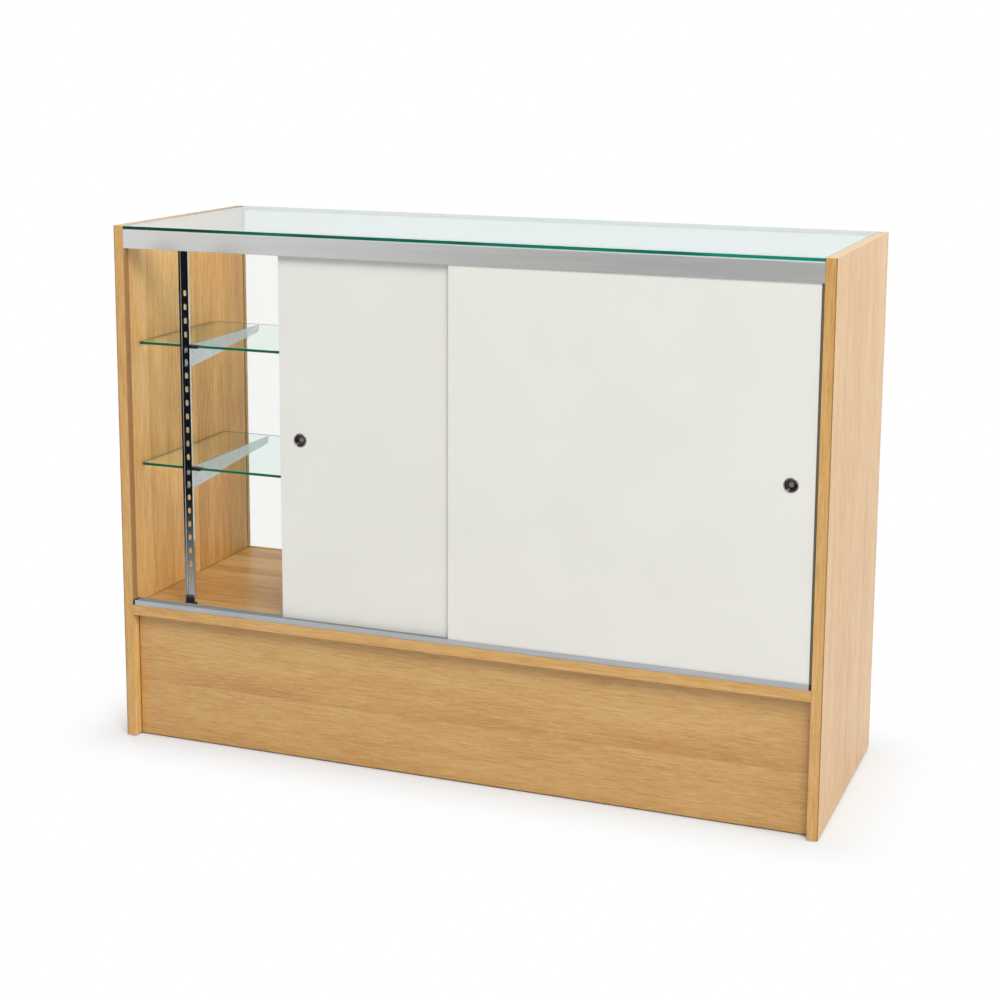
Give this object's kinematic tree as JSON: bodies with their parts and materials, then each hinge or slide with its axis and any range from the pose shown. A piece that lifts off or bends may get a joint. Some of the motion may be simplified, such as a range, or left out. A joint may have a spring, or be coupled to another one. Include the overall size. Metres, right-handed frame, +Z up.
{
  "type": "glass display case",
  "caption": "Counter-height glass display case with oak-laminate ends, glass top, front and shelves on slotted uprights, and sliding service doors.",
  "frame": {"origin": "on the floor, under the centre of the case", "axes": "+X to the right as seen from the service side with the sliding doors, +Y towards the customer side with the glass front, +Z up"},
  "size_m": [1.32, 0.46, 0.97],
  "materials": {
    "oak": "satin oak-pattern laminate",
    "oak_band": "satin oak-pattern edge strip",
    "glass": "clear float glass with ground edges",
    "clear_vinyl": "clear extruded strip",
    "aluminium": "satin anodised extrusion",
    "bright_zinc": "bright zinc plated rolled steel",
    "zinc": "zinc plated",
    "nickel": "nickel plated",
    "hardboard": "off-white lacquered hardboard",
    "chrome": "dark chrome",
    "rubber": "black moulded rubber",
    "felt": "brown felt"
  },
  "bodies": {
    "case": {"bottom_track": "aluminium", "customer_kick_panel": "oak", "customer_left_glide": "nickel", "customer_right_glide": "nickel", "deck_cam_bolt_left": "zinc", "deck_cam_bolt_right": "zinc", "deck_cam_left": "zinc", "deck_cam_right": "zinc", "deck_customer_edge_band": "oak_band", "deck_panel": "oak", "deck_service_edge_band": "oak_band", "front_glass": "glass", "front_glass_gasket": "clear_vinyl", "kick_cam_bolt_customer_left": "zinc", "kick_cam_bolt_customer_right": "zinc", "kick_cam_bolt_service_left": "zinc", "kick_cam_bolt_service_right": "zinc", "kick_cam_customer_left": "zinc", "kick_cam_customer_right": "zinc", "kick_cam_service_left": "zinc", "kick_cam_service_right": "zinc", "left_customer_edge_band": "oak_band", "left_door_felt": "felt", "left_rail_clip": "zinc", "left_service_edge_band": "oak_band", "left_side_panel": "oak", "left_standard": "bright_zinc", "left_standard_foot": "rubber", "left_standard_screw": "zinc", "left_track_bumper": "rubber", "lower_left_bracket": "bright_zinc", "lower_left_shelf_clip": "rubber", "lower_right_bracket": "bright_zinc", "lower_right_shelf_clip": "rubber", "lower_shelf": "glass", "right_customer_edge_band": "oak_band", "right_door_felt": "felt", "right_rail_clip": "zinc", "right_service_edge_band": "oak_band", "right_side_panel": "oak", "right_standard": "bright_zinc", "right_standard_foot": "rubber", "right_standard_screw": "zinc", "right_track_bumper": "rubber", "service_kick_panel": "oak", "service_left_glide": "nickel", "service_right_glide": "nickel", "top_glass": "glass", "top_rail": "aluminium", "upper_left_bracket": "bright_zinc", "upper_left_shelf_clip": "rubber", "upper_right_bracket": "bright_zinc", "upper_right_shelf_clip": "rubber", "upper_shelf": "glass"},
    "left_sliding_door": {"left_door": "hardboard", "left_door_pull": "chrome"},
    "right_sliding_door": {"right_door": "hardboard", "right_door_pull": "chrome"}
  },
  "joints": [
    {"name": "left_door_slide", "type": "slide", "parent": "case", "child": "left_sliding_door", "axis": [1, 0, 0], "range_m": [-0.304, 0.3289]},
    {"name": "right_door_slide", "type": "slide", "parent": "case", "child": "right_sliding_door", "axis": [1, 0, 0], "range_m": [-0.6329, 0]}
  ]
}
